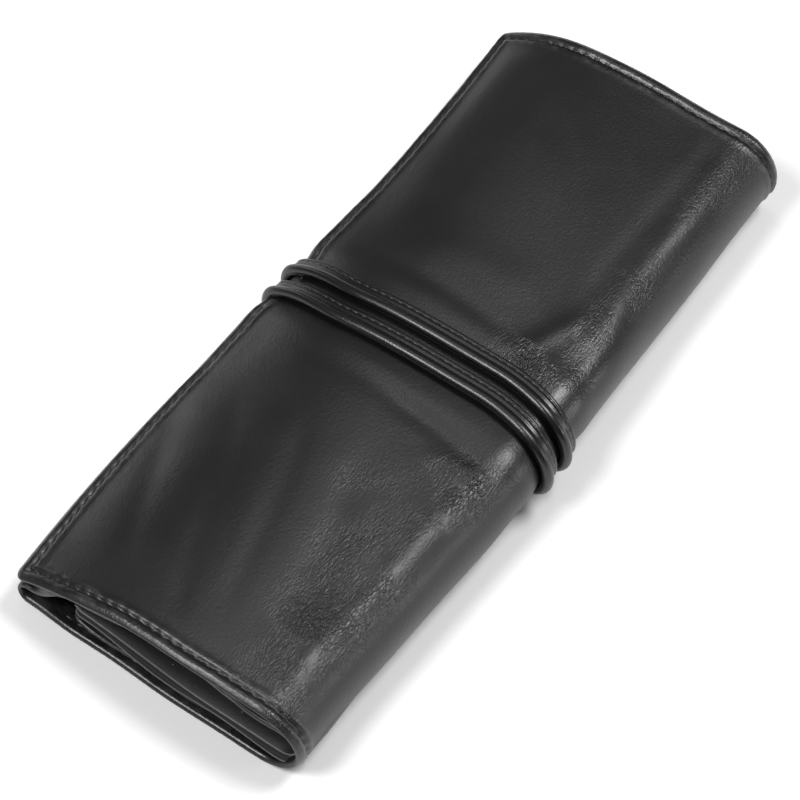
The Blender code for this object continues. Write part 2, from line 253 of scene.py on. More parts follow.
@lru_cache(maxsize=None)
def section(y):
    """The outer skin at y: points (x, z), outward normals, running length, and the marks on it."""
    fold, left, inner = right_fold(y), left_fold(y), inner_fold(y)
    top_x = np.linspace(free_edge_x(y), fold[0], 160)
    base_x = np.linspace(fold[0], left[0], 120)
    lift = ease((BASE_LIFT_X - base_x) / (BASE_LIFT_X - left[0]))
    second_x = np.linspace(left[0], inner[0], 140)
    drop = ease((second_x - SECOND_LEAF_DROP_X) / (INNER_FOLD_X - SECOND_LEAF_DROP_X))
    high = flap_height(second_x, y) - FLAP_TO_SECOND_LEAF
    high -= (HEIGHT - FLAP_TO_SECOND_LEAF - INNER_FOLD_TOP) * drop
    third_x = np.linspace(inner[0], THIRD_LEAF_END_X, 60)
    climb = SECOND_LEAF_CLIMB - near_far(y, SECOND_LEAF_SOONER)
    rise = near_far(y, THIRD_LEAF_RISE) * ease((THIRD_LEAF_RISE_X - third_x) / THIRD_LEAF_RISE_SPAN)
    runs = [
        np.stack([top_x, flap_height(top_x, y)], -1),
        arc(fold, 90, 0, 40),
        arc(fold, 0, -90, 40),
        np.stack([base_x, mix(WAIST_DEPTH * waist(y), left[1] - left[2], lift)], -1),
        arc(left, -90, -270, 50),
        np.stack([second_x, mix(left[1] + left[2], high, ease((second_x - left[0]) / climb))], -1),
        arc(inner, 90, -90, 70),
        np.stack([third_x, inner[1] - inner[2] + rise], -1),
    ]
    points = np.vstack([runs[0], *[run[1:] for run in runs[1:]]])
    steps = np.hypot(*np.diff(points, axis=0).T)
    run = np.concatenate([[0.0], np.cumsum(steps)])
    ends = np.cumsum([len(runs[0]), *[len(r) - 1 for r in runs[1:]]]) - 1
    tangent = np.gradient(points, run, axis=0)
    tangent /= np.hypot(*tangent.T)[:, None]
    normal = np.stack([-tangent[:, 1], tangent[:, 0]], -1)
    marks = {
        "free_edge": 0.0,
        "lip_split": np.interp(LIP_SPLIT_X, top_x, run[:len(top_x)]),
        "mid_fold": run[ends[1]],
        "base_split": np.interp(-BASE_SPLIT_X, -base_x, run[ends[2]:ends[3] + 1]),
        "left_fold": run[ends[3]],
        "second_leaf": run[ends[4]],
        "inner_fold": run[ends[5]],
        "third_leaf": run[ends[6]],
        "inner_end": run[-1],
    }
    return points, normal, run, marks


def skin_at(s, y):
    """Points and outward normals (x, y, z) on the skin at running lengths s of the station y."""
    points, normal, run, _ = section(y)
    px, pz = (np.interp(s, run, points[:, k]) for k in (0, 1))
    nx, nz = (np.interp(s, run, normal[:, k]) for k in (0, 1))
    size = np.hypot(nx, nz)
    flat = np.zeros_like(px)
    return np.stack([px, flat + y, pz], -1), np.stack([nx / size, flat, nz / size], -1)


def skin_point(s, y, lift):
    """One point at a height above the skin, and the normal there."""
    point, normal = skin_at(np.array([s]), y)
    return point[0] + normal[0] * lift, normal[0]


# ---------------------------------------------------------------- surface relief

RANDOM = np.random.default_rng(7)
WAVES = [
    (RANDOM.uniform(0.05, 0.16), RANDOM.uniform(0.02, 0.09), RANDOM.uniform(0, 2 * pi))
    for _ in range(9)
]


def undulation(s, y):
    """Slow, uneven swelling of a soft sheet, about 1 either way."""
    total = 0
    for across, along, phase in WAVES:
        total = total + np.sin(across * s + along * y + phase) * np.cos(along * y * 0.7 - phase)
    return total / 3.5


# soft folds in the flap: (x, y) of both ends, width and height; a valley's height is negative
FOLDS = [
    ((-46, -38), (-20, -92), 3.2, -0.22),
    ((-28, -36), (-1, -96), 3.0, -0.24),
    ((-9, -34), (7, -86), 3.0, -0.24),
    ((8, -34), (17, -70), 3.4, -0.20),
    ((-37, -40), (-10, -92), 5.0, 0.12),
    ((-18, -36), (6, -84), 5.0, 0.14),
    ((0, -36), (13, -84), 5.0, 0.16),
    ((4, -17), (36, -21), 2.6, -0.45),
    ((22, -25), (38, -23), 2.6, 0.40),
    ((-20, -15), (6, -17), 3.5, -0.25),
    ((22, 12), (30, 30), 2.8, 0.50),
    ((34, 12), (37, 30), 2.4, -0.35),
    ((-20, 26), (16, 30), 7.0, 0.45),
    ((-30, 17), (20, 16), 3.0, -0.35),
    ((-34, 60), (-30, 98), 6.0, 0.25),
    ((-24, 44), (-22, 96), 4.0, -0.16),
    ((27, 34), (27, 98), 3.2, -0.26),
    ((35, 34), (34, 98), 2.4, 0.26),
    ((33, -36), (30, -96), 2.6, 0.30),
    ((24, -50), (24, -92), 3.0, 0.18),
]


def soft_folds(x, y):
    """The flap's soft folds together, each a slightly wavy ridge or valley that fades at its ends."""
    total = 0
    for (x0, y0), (x1, y1), width, height in FOLDS:
        length = np.hypot(x1 - x0, y1 - y0)
        ux, uy = (x1 - x0) / length, (y1 - y0) / length
        along = (x - x0) * ux + (y - y0) * uy
        across = (x - x0) * uy - (y - y0) * ux + 0.7 * np.sin(along / 11.0)
        ends = ease((along + 6) / 14) * ease((length + 6 - along) / 14)
        total = total + height * ends * bump(across, 0.0, width)
    return total


def creasing(x, z, y):
    """How finely the leather is creased: along the right fold's crest, and in spots (x, y, reach along
    x and y, strength) beside the strap and towards the ends."""
    crest = bump(x, 33.0, 3.5) * (z > HEIGHT / 2) * (0.2 + 0.2 * np.sin(y / 8.0) * np.cos(y / 21.0 + 1))
    spots = ((27, 13, 8, 6, 1.0), (32, -26, 6, 6, 0.7), (18, -42, 10, 6, 0.2), (22, -58, 8, 8, 0.2),
             (25, -82, 7, 13, 0.8), (36, 34, 3, 14, 0.3), (38, 88, 3, 12, 0.2))
    total = crest + sum(v * bump(x, cx, wx) * bump(y, cy, wy) for cx, cy, wx, wy, v in spots)
    return np.where(z > HEIGHT / 3, total, 0.0)


def hem_relief(d, along):
    """The sheet's outer face near an edge: a soft roll, then the stitches' groove, then a low swell."""
    pull = 0.65 + 0.35 * np.cos(2 * pi * along / STITCH_PITCH)
    uneven = 1 + 0.25 * np.sin(along / 7.3) * np.sin(along / 3.1 + 1)
    roll = 0.5 * uneven * (1 - 0.2 * pull) * bump(d, *HEM_ROLL)
    groove = -0.62 * pull * bump(d, STITCH_INSET, 0.5)
    return roll + groove + 0.4 * uneven * (1 - 0.35 * pull) * bump(d, *HEM_SWELL)


def strap_seat(x, y):
    """The strap presses a shallow seat in the flap, and the leather swells beside it."""
    first, second = y - strap_y(x, 0), y - strap_y(x, 1)
    seat = bump(first, 0, SEAT_WIDTH) + bump(second, 0, SEAT_WIDTH)
    swell = (bump(first, SEAT_SWELL_AWAY, SEAT_SWELL_WIDTH)
             + bump(second, -SEAT_SWELL_AWAY, SEAT_SWELL_WIDTH))
    return SEAT_DEPTH * (swell - seat)


def inside_hem(d):
    """From 0 within the hem to 1 well away from it."""
    return ease((d - 3.0) / 9.0)


def outer_relief(s, y, d, along):
    """Height of the cover's outer face above the plain skin, where d is the way to the nearest edge."""
    points, _, run, _ = section(y)
    x, z = np.interp(s, run, points[:, 0]), np.interp(s, run, points[:, 1])
    top = ease((z - 7.0) / 4.0)
    near_strap = bump(y, STRAP_MIDDLE_Y, 12)
    slow = inside_hem(d) * 0.22 * undulation(s, y) * (1 - 0.8 * near_strap)
    folds = inside_hem(d) * soft_folds(x, y) + strap_seat(x, y)
    return slow + top * folds + hem_relief(d, along) - FACE_DEPTH


def inner_relief(s, y, d, along):
    """The outer face again, calmed down beyond the left fold."""
    calm = 0.4 * inside_hem(d) * undulation(s, y) + 0.3 * hem_relief(d, along)
    return mix(outer_relief(s, y, d, along), calm, into_core(s, y))


def hem_stations(start, end, spacing, open_start=False, open_end=False):
    """Stations that crowd towards a hemmed edge, and run on evenly from an open one."""
    close = [EDGE_ROUND * (1 - cos(a)) for a in np.linspace(0, pi / 2, 6)] + HEM_STATIONS
    low = [] if open_start else [start + c for c in close]
    high = [] if open_end else [end - c for c in reversed(close)]
    a = start if open_start else low[-1]
    b = end if open_end else high[0]
    count = max(int(round((b - a) / spacing)), 2)
    middle = list(np.linspace(a, b, count + 1))
    return np.array(low + middle[(0 if open_start else 1):(None if open_end else -1)] + high)


# ---------------------------------------------------------------- meshes


def finish_piece(name, mesh, material):
    """Shows a mesh as a smooth piece of a material slot."""
    mesh.polygons.foreach_set("use_smooth", [True] * len(mesh.polygons))
    mesh.materials.append(material)
    piece = bpy.data.objects.new(name, mesh)
    bpy.context.scene.collection.objects.link(piece)
    return piece


def grid_normals(points):
    """Unit normals of a grid of points whose rows are closed."""
    along = np.gradient(points, axis=0)
    across = np.roll(points, -1, axis=1) - np.roll(points, 1, axis=1)
    normal = np.cross(along, across)
    return normal / np.maximum(np.linalg.norm(normal, axis=-1, keepdims=True), 1e-12)


def grid_piece(name, points, material, ghosts, caps, values=None):
    """A smooth mesh from closed rows of points (mm). A ghost row only steers the shading of the end
    beside it, so that two pieces that meet there shade as one. A cap closes an end."""
    normals = grid_normals(points)
    first, last = int(ghosts[0]), len(points) - int(ghosts[1])
    steer = np.zeros_like(normals)
    if ghosts[0]:
        steer[first] = normals[first]
    if ghosts[1]:
        steer[last - 1] = normals[last - 1]
    points, steer = points[first:last], steer[first:last]
    rows, count = points.shape[:2]
    index = np.arange(rows * count).reshape(rows, count)
    beside = np.roll(index, -1, axis=1)
    faces = np.stack([index[:-1], index[1:], beside[1:], beside[:-1]], -1).reshape(-1, 4).tolist()
    if caps[0]:
        faces.append(index[0].tolist())
    if caps[1]:
        faces.append(index[-1][::-1].tolist())
    mesh = bpy.data.meshes.new(name)
    mesh.from_pydata((points.reshape(-1, 3) * MM).tolist(), [], faces)
    steering = mesh.attributes.new("steer", "FLOAT_VECTOR", "POINT")
    steering.data.foreach_set("vector", steer.reshape(-1).astype(np.float32))
    for key, value in (values or {}).items():
        layer = mesh.attributes.new(key, "FLOAT", "POINT")
        layer.data.foreach_set("value", value[first:last].reshape(-1).astype(np.float32))
    work = bmesh.new()
    work.from_mesh(mesh)
    bmesh.ops.remove_doubles(work, verts=work.verts, dist=1e-7)
    bmesh.ops.recalc_face_normals(work, faces=work.faces)
    work.to_mesh(mesh)
    work.free()
    steering = mesh.attributes["steer"]
    kept = np.zeros(len(mesh.vertices) * 3, np.float32)
    steering.data.foreach_get("vector", kept)
    kept = kept.reshape(-1, 3)
    steered = np.flatnonzero(np.abs(kept).sum(1) > 0.5)
    mesh.attributes.remove(steering)
    piece = finish_piece(name, mesh, material)
    if len(steered):
        plain = np.zeros(len(mesh.vertices) * 3, np.float32)
        mesh.vertices.foreach_get("normal", plain)
        plain = plain.reshape(-1, 3)
        side = np.sign((plain[steered] * kept[steered]).sum(1))
        kept[steered] *= np.where(side == 0, 1, side)[:, None]
        mesh.normals_split_custom_set_from_vertices(kept.tolist())
    return piece


def fit_run(along, span, own, open_start, open_end):
    """Stations laid out for a run of length span, moved to one of length own. The ones near a
    hemmed edge keep their distance to it."""
    if open_start and open_end:
        return along * own / span
    kept = 12.0
    way = span - along if open_start else along
    way = way + (own - span) * np.clip((way - kept) / (span - kept), 0, 2)
    return own - way if open_start else way


def sheet_grid(start, end, spacing, rows, front, back, open_start, open_end, middle, recess=None,
               edge_round=None):
    """A ring of points round a sheet at each station along the section, and each point's way to the
    nearest edge. A ring runs along the outer face from the near end to the far one, then back along
    the inner face. front, back and middle are the offsets from the skin of the faces and of the edge's
    roundest line, and recess draws the ends in."""
    stations = {y: section(y)[3] for y in rows}
    span = np.mean([m[end] - m[start] for m in stations.values()])
    along = hem_stations(0.0, span, spacing, open_start, open_end)
    along = np.concatenate([[-spacing] * open_start, along, [span + spacing] * open_end])
    inwards = -1 if open_start else 1
    outer, inner, edge = [], [], []
    for y in rows:
        run = fit_run(along, span, stations[y][end] - stations[y][start], open_start, open_end)
        s = stations[y][start] + run
        to_start = np.inf if open_start else s - stations[y][start]
        to_end = np.inf if open_end else stations[y][end] - s
        du = np.minimum(np.minimum(to_start, to_end), 1e3) + 0 * s
        dy = min(y - rows[0], rows[-1] - y)
        d = np.maximum(np.minimum(du, dy), 0.0)
        way = np.where(du < dy, y, s)
        # the grid's square corner is drawn in to a round one
        a, b = np.maximum(CORNER_RADIUS - du, 0), max(CORNER_RADIUS - dy, 0)
        shrink = np.where((a > 0) & (b > 0), np.maximum(a, b) / np.maximum(np.hypot(a, b), 1e-9), 1.0)
        point, normal = skin_at(s + inwards * a * (1 - shrink), y)
        point[:, 1] = y - np.sign(y) * b * (1 - shrink)
        if recess:
            point[:, 1] *= 1 - recess(s, y) / HALF
        reach = mix(EDGE_ROUND, CORE_EDGE_ROUND, into_core(s, y)) if edge_round is None else edge_round
        rounding = np.sqrt(np.clip(1 - (1 - np.minimum(d / reach, 1)) ** 2, 0, 1))
        for face, offset in ((outer, front(s, y, d, way)), (inner, back(s, y, d))):
            face.append(point + normal * mix(middle, offset, rounding)[:, None])
        edge.append(d)
    outer, inner, edge = (np.swapaxes(np.array(v), 0, 1) for v in (outer, inner, edge))
    ring = np.concatenate([outer, inner[:, -2:0:-1]], axis=1)
    return ring, np.concatenate([edge, edge[:, -2:0:-1]], axis=1)


def into_core(s, y, over=10.0):
    """From 0 before the left fold to 1 beyond it, where the sheet lies inside the roll."""
    return ease((s - section(y)[3]["left_fold"]) / over)


def cover_back(s, y, d):
    """The cover's inner face: doubled by the turned hem near the edges, thinner in the core."""
    hem = mix(HEM_THICK, CORE_HEM_THICK, into_core(s, y))
    return -mix(hem, COVER_THICK, ease((d - HEM_TURN) / 0.8))


def end_recess(s, y):
    """How far a sheet's ends lie inside the case's: a little uneven, and more so in the core."""
    slow, quick = np.sin(s / 11.0 + np.sign(y)), np.sin(s / 4.7)
    return 0.3 + 0.25 * slow + 0.1 * quick + into_core(s, y, 16.0) * (1.8 + 0.6 * slow + 0.4 * quick)


def even_rows(start, end, spacing):
    """Stations y that are near enough to spacing apart."""
    return [float(y) for y in np.linspace(start, end, int(round((end - start) / spacing)) + 1)]


def cover_piece(name, start, end, opens, material, front):
    """A piece of the hemmed cover. Its material reads the way to the hem's edge and the creasing."""
    rows = [float(y) for y in hem_stations(-HALF + END_MARGIN, HALF - END_MARGIN, GRID)]
    ring, edge = sheet_grid(start, end, GRID, rows, front, cover_back, *opens, EDGE_MIDDLE, end_recess)
    crease = creasing(ring[..., 0], ring[..., 2], ring[..., 1])
    return grid_piece(name, ring, material, opens, opens, {"edge": edge, "crease": crease})


def lining_spread(s, y):
    """Recess of the lining: less than nothing in the core, where it reaches closer to the ends."""
    return (CORE_LINING_INSET - LINING_INSET) * into_core(s, y, 16.0) + 0.4 * np.sin(s / 6.0)


def layer_piece(name, start, end, depth, thick, span, material, opens, recess=None):
    """A plain inner sheet at a depth below the skin, between two stations y. Its material reads where
    the cut edge is."""
    near, far = span
    inner_rows = even_rows(near + CUT_EDGE, far - CUT_EDGE, LAYER_ROWS)
    rows = [near, near + CUT_EDGE / 3, *inner_rows, far - CUT_EDGE / 3, far]
    ring, edge = sheet_grid(start, end, LAYER_GRID, rows, lambda s, y, d, way: -depth + 0 * s,
                            lambda s, y, d: -depth - thick + 0 * s, *opens, -depth - thick / 2, recess,
                            thick / 2)
    return grid_piece(name, ring, material, opens, opens, {"cut": np.clip(1 - edge / CUT_EDGE, 0, 1)})


# the runs of the sheet that are a piece each: where one starts and ends on the section, and whether the
# sheet goes on there
RUNS = {
    "lip": ("free_edge", "lip_split", (False, True)),
    "flap": ("lip_split", "mid_fold", (True, True)),
    "base": ("mid_fold", "base_split", (True, True)),
    "core": ("base_split", "inner_end", (True, False)),
}


def bend_with(piece, run):
    """Ties a core piece to the case's body. A lip, flap or base piece only has its placing baked into its
    mesh; the bends listed for it are not used.
    """
    fold_x = (WIDTH - HEIGHT) / 2
    bends = {
        "lip": ("flap", "lip", (LIP_BEND[0], 0, LIP_BEND_HEIGHT), (LIP_BEND[1], 0, LIP_BEND_HEIGHT)),
        "flap": ("spine", "flap", (fold_x + FOLD_REACH, 0, HEIGHT - FOLD_REACH), (fold_x, 0, HEIGHT)),
        "base": ("case", "spine", (fold_x, 0, 0), (fold_x + FOLD_REACH, 0, FOLD_REACH)),
    }
    if run in bends:
        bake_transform(piece)
    else:
        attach(piece, "case")


# ---------------------------------------------------------------- stitches


def stitch_row(points, normals, pitch, length=2.3, radius=0.27, lift=0.0):
    """The stitches of a row at even steps along its line, as stitch_piece takes them. lift raises them
    along the normal."""
    points, normals = np.asarray(points), np.asarray(normals)
    run = np.concatenate([[0.0], np.cumsum(np.linalg.norm(np.diff(points, axis=0), axis=1))])
    stitches = []
    for at in np.arange(pitch / 2, run[-1], pitch):
        ends = [np.array([np.interp(at + side * length / 2, run, points[:, k]) for k in range(3)])
                for side in (-1, 1)]
        normal = np.array([np.interp(at, run, normals[:, k]) for k in range(3)])
        stitches.append((ends[0], ends[1], normal / np.linalg.norm(normal), radius, lift))
    return stitches


def stitch_piece(name, stitches, material):
    """One mesh of many stitches (start, end, normal, radius, lift), each a short thread that dips into
    the leather at both ends."""
    sides, rings = 6, 7
    verts, faces = [], []
    for start, end, normal, radius, lift in stitches:
        direction = (end - start) / np.linalg.norm(end - start)
        side = np.cross(direction, normal)
        first = len(verts)
        for i in range(rings):
            t = i / (rings - 1)
            swell = max(sin(pi * t), 0.0) ** 0.5
            centre = mix(start, end, t) + normal * (lift + 0.3 * (swell - 1))
            for j in range(sides):
                turn = 2 * pi * j / sides
                offset = side * cos(turn) + normal * sin(turn)
                verts.append((centre + offset * radius * mix(0.45, 1.0, swell)) * MM)
        for i in range(rings - 1):
            for j in range(sides):
                a, b = first + i * sides + j, first + i * sides + (j + 1) % sides
                faces.append((a, b, b + sides, a + sides))
        faces.append(tuple(first + j for j in reversed(range(sides))))
        faces.append(tuple(first + (rings - 1) * sides + j for j in range(sides)))
    mesh = bpy.data.meshes.new(name)
    mesh.from_pydata([tuple(v) for v in verts], [], faces)
    return finish_piece(name, mesh, material)


def skin_stitches(start, end, y, lift, face=1):
    """A row of stitches along the section at y, on the sheet's outer face (1) or inner face (-1)."""
    marks = section(y)[3]
    s = np.arange(marks[start], marks[end], STITCH_LINE_STEP)
    points, normals = skin_at(s, y)
    return stitch_row(points + normals * lift, normals * face, STITCH_PITCH)


def hem_stitches():
    """The top-stitching along both ends and the free edge, by the run of the sheet it lies in. The
    base shows the stitches' other side too."""
    far = HALF - END_MARGIN - STITCH_INSET
    rows = {"flap": [], "base": []}
    for y in (-far, far):
        rows["flap"] += skin_stitches("lip_split", "mid_fold", y, -STITCH_DEPTH)
        rows["base"] += skin_stitches("mid_fold", "base_split", y, -STITCH_DEPTH)
        rows["base"] += skin_stitches("mid_fold", "base_split", y, -HEM_THICK - 0.05, face=-1)
    ends, edge = [], []
    for y in (-far, far):
        marks = section(y)[3]
        last = marks["free_edge"] + STITCH_INSET + STITCH_CORNER
        along = np.arange(marks["lip_split"], last, -STITCH_LINE_STEP)
        ends.append([skin_point(s, y, -STITCH_DEPTH) for s in along])
    for y in np.arange(-far + STITCH_CORNER, far - STITCH_CORNER, STITCH_LINE_STEP):
        edge.append(skin_point(section(float(y))[3]["free_edge"] + STITCH_INSET, float(y), -STITCH_DEPTH))
    whole = ends[0] + edge + ends[1][::-1]
    rows["lip"] = stitch_row([p for p, _ in whole], [n for _, n in whole], STITCH_PITCH)
    return rows


# ---------------------------------------------------------------- strap


def strap_shift(x):
    """How far the strap has strayed along the case where it crosses the top at x."""
    return sum(shift * ease((x - start) / way) for shift, start, way in STRAP_SHIFTS)


def strap_y(x, turn):
    """Where the first (0) or second (1) turn crosses the top at x."""
    return STRAP_Y - STRAP_PITCH * turn + strap_shift(x)


def strap_path():
    """Points of the strap's centre line, from the hem it is sewn to through both turns to its tail,
    and the indices of the points where its parts meet, each about half way along a link."""
    points, cuts = [], [0]
    low_z = right_fold(STRAP_Y)[1] - right_fold(STRAP_Y)[2] - STRAP_OFFSET - STRAP_SLACK

    def lay(run, *shares):
        cuts.extend(len(points) + round(share * len(run)) for share in shares)
        points.extend(run)

    def left_bend(y, drift, above_flap, first_angle, half_width):
        top = flap_height(LEFT_BEND_X - 1.0, y) + above_flap
        mid, half = (top + low_z) / 2, (top - low_z) / 2
        angles = np.radians(np.linspace(first_angle, 270, LEFT_BEND_POINTS))
        lay([(LEFT_BEND_X + half_width * cos(a), y - drift * k / (len(angles) - 1), mid + half * sin(a))
             for k, a in enumerate(angles)])

    left_bend(STRAP_START_Y, 0.6, -HEM_THICK - 0.3, 105, LEFT_BEND_HALF_WIDTH - 0.4)
    for turn in (0, 1):
        left_y, right_y = points[-1][1], strap_y(WIDTH, turn) + STRAP_SIDE_DRIFT
        fold_x, fold_z, radius = right_fold(right_y)
        reach = radius + STRAP_OFFSET
        lay([(mix(LEFT_BEND_X, fold_x, t), mix(left_y, right_y, t), low_z)
             for t in np.linspace(0, 1, 60)[1:-1]], 0.5)
        bend = []
        for angle in np.linspace(-90, 90, 46)[:-1]:
            x = fold_x + reach * cos(radians(angle))
            y = mix(right_y, strap_y(x, turn), ease((angle + 90) / 90))
            bend.append((x, y, fold_z + reach * sin(radians(angle))))
        lay(bend, 0.5)
        end_x = LEFT_BEND_X + 2.5
        cut_shares = [(fold_x - x) / (fold_x - end_x) for x in (STRAP_CREST_CUT_X, STRAP_SLOPE_CUT_X)]
        lay([(x, strap_y(x, turn), flap_height(x, strap_y(x, turn)) + STRAP_OFFSET)
             for x in np.linspace(fold_x, end_x, 90)], *cut_shares)
        left_bend(strap_y(LEFT_BEND_X, turn), 1.0, STRAP_OFFSET + STRAP_SLACK, 112,
                  LEFT_BEND_HALF_WIDTH)
    last_y = points[-1][1]
    lay([(mix(LEFT_BEND_X, STRAP_TAIL_X, t), last_y - STRAP_TAIL_DRIFT * t, low_z)
         for t in np.linspace(0, 1, 60)[1:]])
    return np.array(points), cuts + [len(points) - 1]


def smooth_line(points, passes):
    """Rounds off the corners between the line's runs."""
    for _ in range(passes):
        points[1:-1] = (points[:-2] + 2 * points[1:-1] + points[2:]) / 4
    return points


def strap_profile():
    """Loop of (side, up) points: the round edge on the near side, the flange on the far one."""
    roll = [(STRAP_ROLL_SIDE + STRAP_ROLL_RADIUS * cos(radians(a)), STRAP_ROLL_RADIUS * sin(radians(a)))
            for a in np.linspace(12, 305, 24)]
    top = [(0.08, 0.1), (0.3, 0.06), (0.7, 0.2), (1.15, 0.22), (1.5, 0.08), (STRAP_STITCH_SIDE, -0.1),
           (2.0, 0.06), (2.4, 0.12), (STRAP_FLANGE_SIDE - 0.1, -0.05), (STRAP_FLANGE_SIDE, -0.45)]
    low = [(STRAP_FLANGE_SIDE - 0.05, -0.95), (2.5, -1.25), (1.4, -1.35), (0.2, -1.4)]
    return np.array(roll + low[::-1] + top[::-1])


def strap_pieces(material, thread):
    """The strap in nine parts, each with its stitches and its placing baked into its mesh."""
    points, cuts = strap_path()
    points = smooth_line(points, 12)
    along = np.gradient(points, axis=0)
    along /= np.linalg.norm(along, axis=1)[:, None]
    up = -np.cross(along, (0, 1, 0))
    up /= np.linalg.norm(up, axis=1)[:, None]
    side = np.cross(up, along)
    side *= np.sign(side[:, 1])[:, None]
    profile = strap_profile()
    # the start is sewn flat under the flap's hem, and fills out round its first bend
    filling = ease(np.arange(len(points)) / LEFT_BEND_POINTS - 0.3)
    swell = mix(STRAP_START_FLAT, 1.0, filling)[:, None, None]
    rings = points[:, None] + profile[None, :, :1] * side[:, None]
    rings = rings + profile[None, :, 1:] * swell * up[:, None]
    seam = points + side * STRAP_STITCH_SIDE + up * -0.02
    links = ["start", "bottom_1", "right_1", "crest_1", "slope_1", "bottom_2", "right_2", "crest_2",
             "slope_2", "tail"]
    for k, (a, b) in enumerate(zip(cuts[:-1], cuts[1:])):
        first, last = k == 0, k == len(cuts) - 2
        low, high = (a if first else a - 1), (b + 1 if last else b + 2)
        piece = grid_piece(f"strap_part_{k + 1}", rings[low:high], material,
                           (not first, not last), (first, last))
        stitches = stitch_piece(f"strap_stitches_{k + 1}",
                                stitch_row(seam[a:b + 1], up[a:b + 1], STRAP_STITCH_PITCH, 1.9, 0.24, 0.06),
                                thread)
        nodes = [links[k], "tail"] if last else [links[k]]
        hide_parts(*[f"strap_{n}" for n in nodes])
        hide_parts(*[f"strap_thread_{n}" for n in nodes])
        for thing in (piece, stitches):
            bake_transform(thing)


# ---------------------------------------------------------------- materials


def new_material(name, colour, roughness):
    material = bpy.data.materials.new(name)
    material.use_nodes = True
    shader = material.node_tree.nodes["Principled BSDF"]
    shader.inputs["Base Color"].default_value = (*colour, 1)
    shader.inputs["Roughness"].default_value = roughness
    shader.inputs["Specular IOR Level"].default_value = 0.6
    return material


class Nodes:
    """A short way to write a material's node tree."""

    def __init__(self, material):
        self.tree = material.node_tree
        self.shader = self.tree.nodes["Principled BSDF"]

    def add(self, kind, links=None, **settings):
        """A new node. A setting is one of its own or a socket's, and links says what feeds its sockets."""
        node = self.tree.nodes.new(kind)
        for key, value in settings.items():
            if hasattr(node, key):
                setattr(node, key, value)
            else:
                node.inputs[key.replace("_", " ")].default_value = value
        for key, source in (links or {}).items():
            self.tree.links.new(source, node.inputs[key])
        return node

    def link(self, source, socket):
        self.tree.links.new(source, socket)

    def math(self, operation, a, b=None):
        node = self.tree.nodes.new("ShaderNodeMath")
        node.operation = operation
        for socket, value in zip(node.inputs, (a, b)):
            if value is None:
                continue
            if isinstance(value, (int, float)):
                socket.default_value = value
            else:
                self.tree.links.new(value, socket)
        return node.outputs[0]

    def span(self, value, low, high, out_low=0.0, out_high=1.0):
        """Eases from out_low to out_high while value goes from low to high."""
        node = self.add("ShaderNodeMapRange", interpolation_type="SMOOTHSTEP")
        node.inputs[1].default_value, node.inputs[2].default_value = low, high
        node.inputs[3].default_value, node.inputs[4].default_value = out_low, out_high
        self.link(value, node.inputs[0])
        return node.outputs[0]

    def tint(self, share, colour):
        """Turns the shader's own colour towards another one by share."""
        base = self.shader.inputs["Base Color"]
        tone = self.add("ShaderNodeMix", {"Factor": share}, data_type="RGBA")
        tone.inputs["A"].default_value = base.default_value
        tone.inputs["B"].default_value = (*colour, 1)
        self.link(tone.outputs["Result"], base)


def leather_material(name, colour, roughness, grain_depth):
    """Imitation leather: fine grain, short creases where the mesh says so, and uneven gloss."""
    material = new_material(name, colour, roughness)
    n = Nodes(material)
    place = n.add("ShaderNodeTexCoord").outputs["Object"]
    grain = n.add("ShaderNodeTexVoronoi", {"Vector": place}, Scale=1500.0, feature="SMOOTH_F1")
    warp = n.add("ShaderNodeTexNoise", {"Vector": place}, Scale=90.0, Detail=4.0)
    bent = n.add("ShaderNodeVectorMath", {0: warp.outputs["Color"]}, operation="MULTIPLY_ADD")
    bent.inputs[1].default_value = (0.0035, 0.0035, 0.0035)
    n.link(place, bent.inputs[2])
    creases = 0.0
    for turn, stretch, scale in ((0.7, 0.35, 1500.0), (-0.4, 0.3, 1050.0)):
        turned = n.add("ShaderNodeMapping", {"Vector": bent.outputs[0]})
        turned.inputs["Rotation"].default_value = (0, 0, turn)
        turned.inputs["Scale"].default_value = (1, stretch, 1)
        cells = n.add("ShaderNodeTexVoronoi", {"Vector": turned.outputs[0]}, Scale=scale,
                      feature="DISTANCE_TO_EDGE")
        line = n.span(cells.outputs["Distance"], 0.0, 0.14, -1.0, 0.0)
        creases = n.math("ADD", line, creases)
    patches = n.add("ShaderNodeTexNoise", {"Vector": place}, Scale=75.0, Detail=3.0)
    given = n.add("ShaderNodeAttribute", attribute_name="crease").outputs["Fac"]
    where = n.math("MULTIPLY", given, n.span(patches.outputs[0], 0.32, 0.62))
    cut = n.math("MULTIPLY", creases, n.math("ADD", where, 0.03))
    fine = n.math("MULTIPLY", grain.outputs["Distance"], grain_depth)
    relief = n.add("ShaderNodeBump", {"Height": n.math("ADD", cut, fine)}, Strength=0.75, Distance=0.0003)
    n.link(relief.outputs[0], n.shader.inputs["Normal"])
    gloss = n.add("ShaderNodeTexNoise", {"Vector": place}, Scale=30.0, Detail=5.0)
    rough = n.span(gloss.outputs[0], 0.35, 0.68, roughness - 0.04, roughness + 0.05)
    n.link(rough, n.shader.inputs["Roughness"])
    return material


